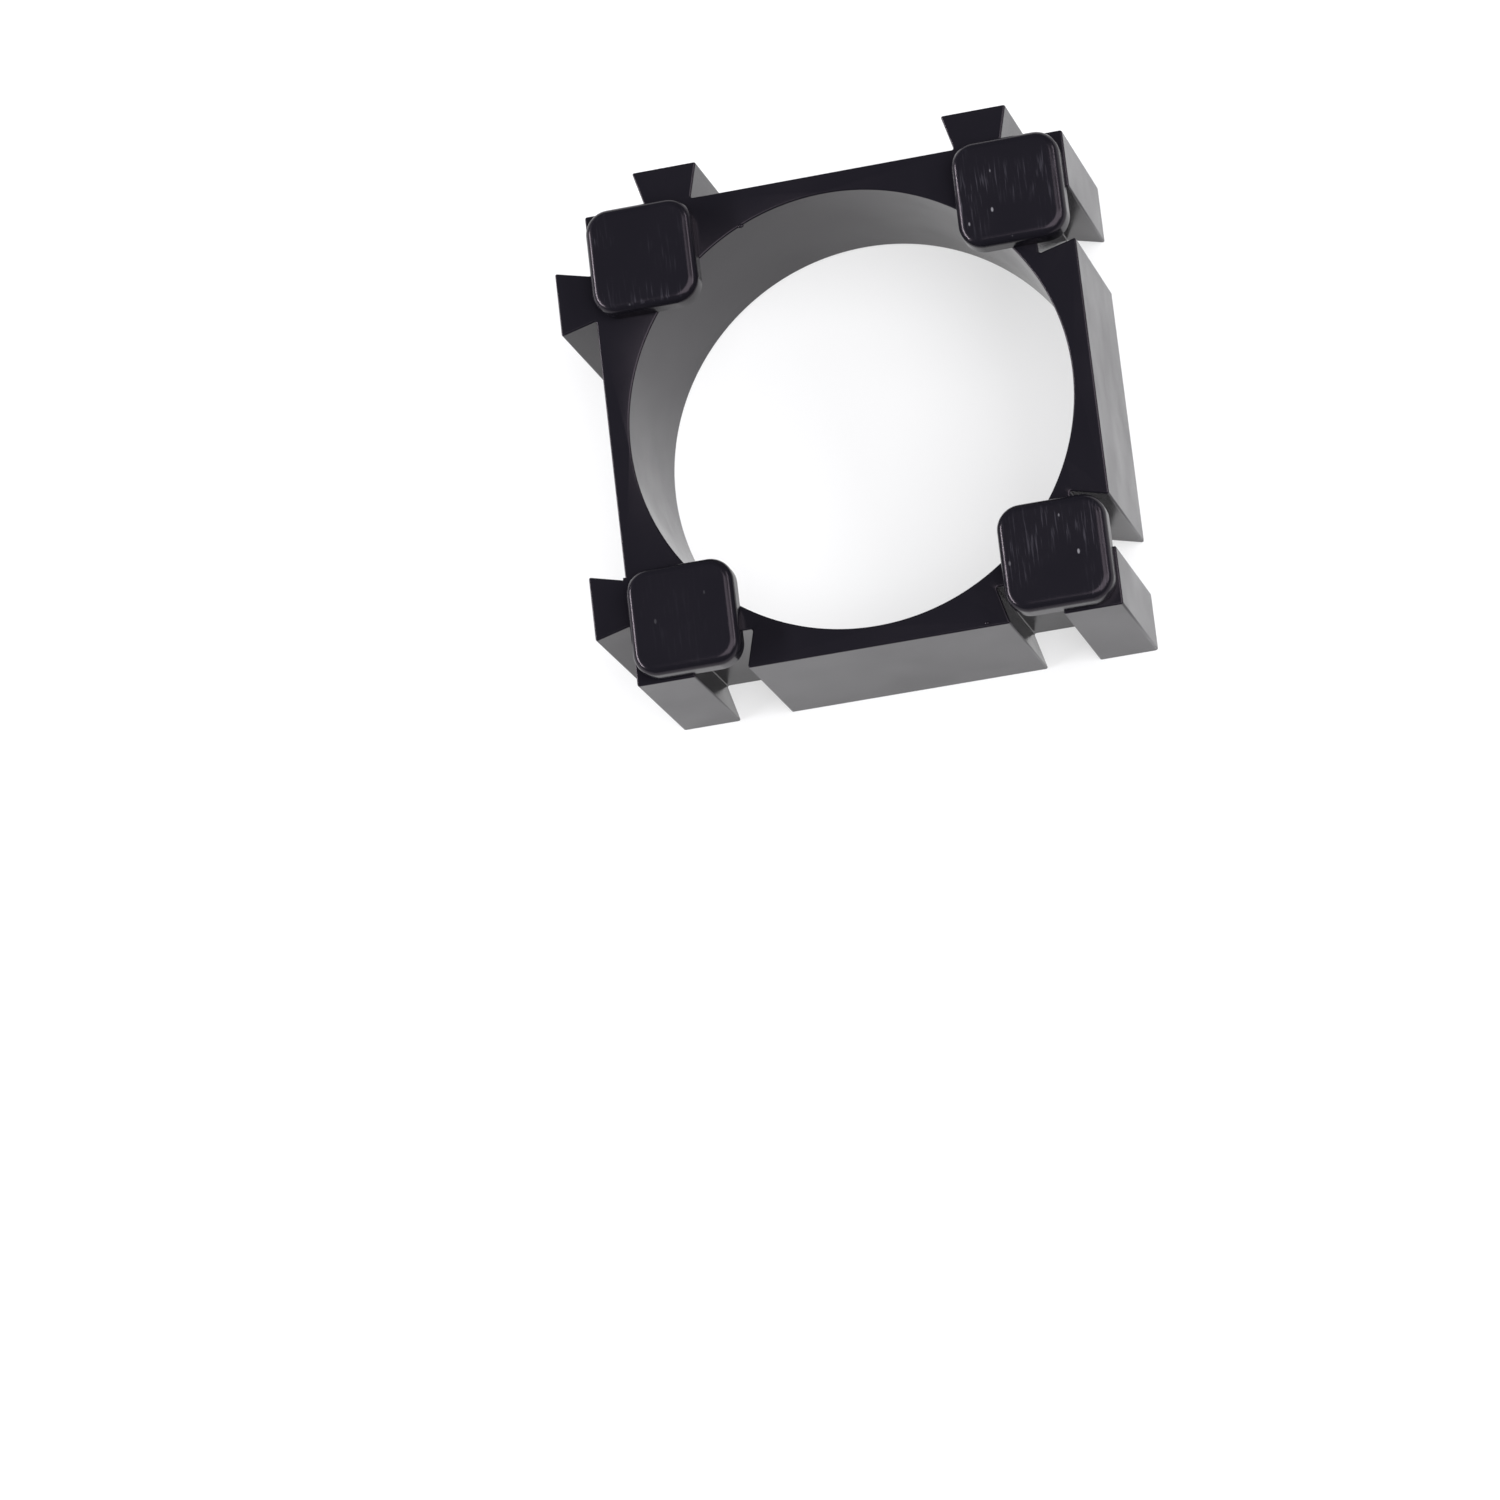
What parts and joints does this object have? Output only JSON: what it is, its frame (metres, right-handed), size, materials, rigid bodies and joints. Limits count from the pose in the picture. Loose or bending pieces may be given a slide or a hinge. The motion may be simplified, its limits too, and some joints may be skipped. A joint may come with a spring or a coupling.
{
  "type": "battery cell holder bracket",
  "caption": "Square frame that holds one round cell in its bore, with corner stops, and dovetail rails and grooves that lock it to its neighbours.",
  "frame": {"origin": "on the bore's axis at the back face, where the cell enters", "axes": "+Z along the bore towards the corner stops, +X towards the side with grooves, +Y towards a side with rails"},
  "size_m": [0.0217, 0.0217, 0.009],
  "materials": {
    "black_plastic": "as moulded, semi-gloss, near-black"
  },
  "bodies": {
    "root": {"cell_bracket": "black_plastic"}
  },
  "joints": []
}
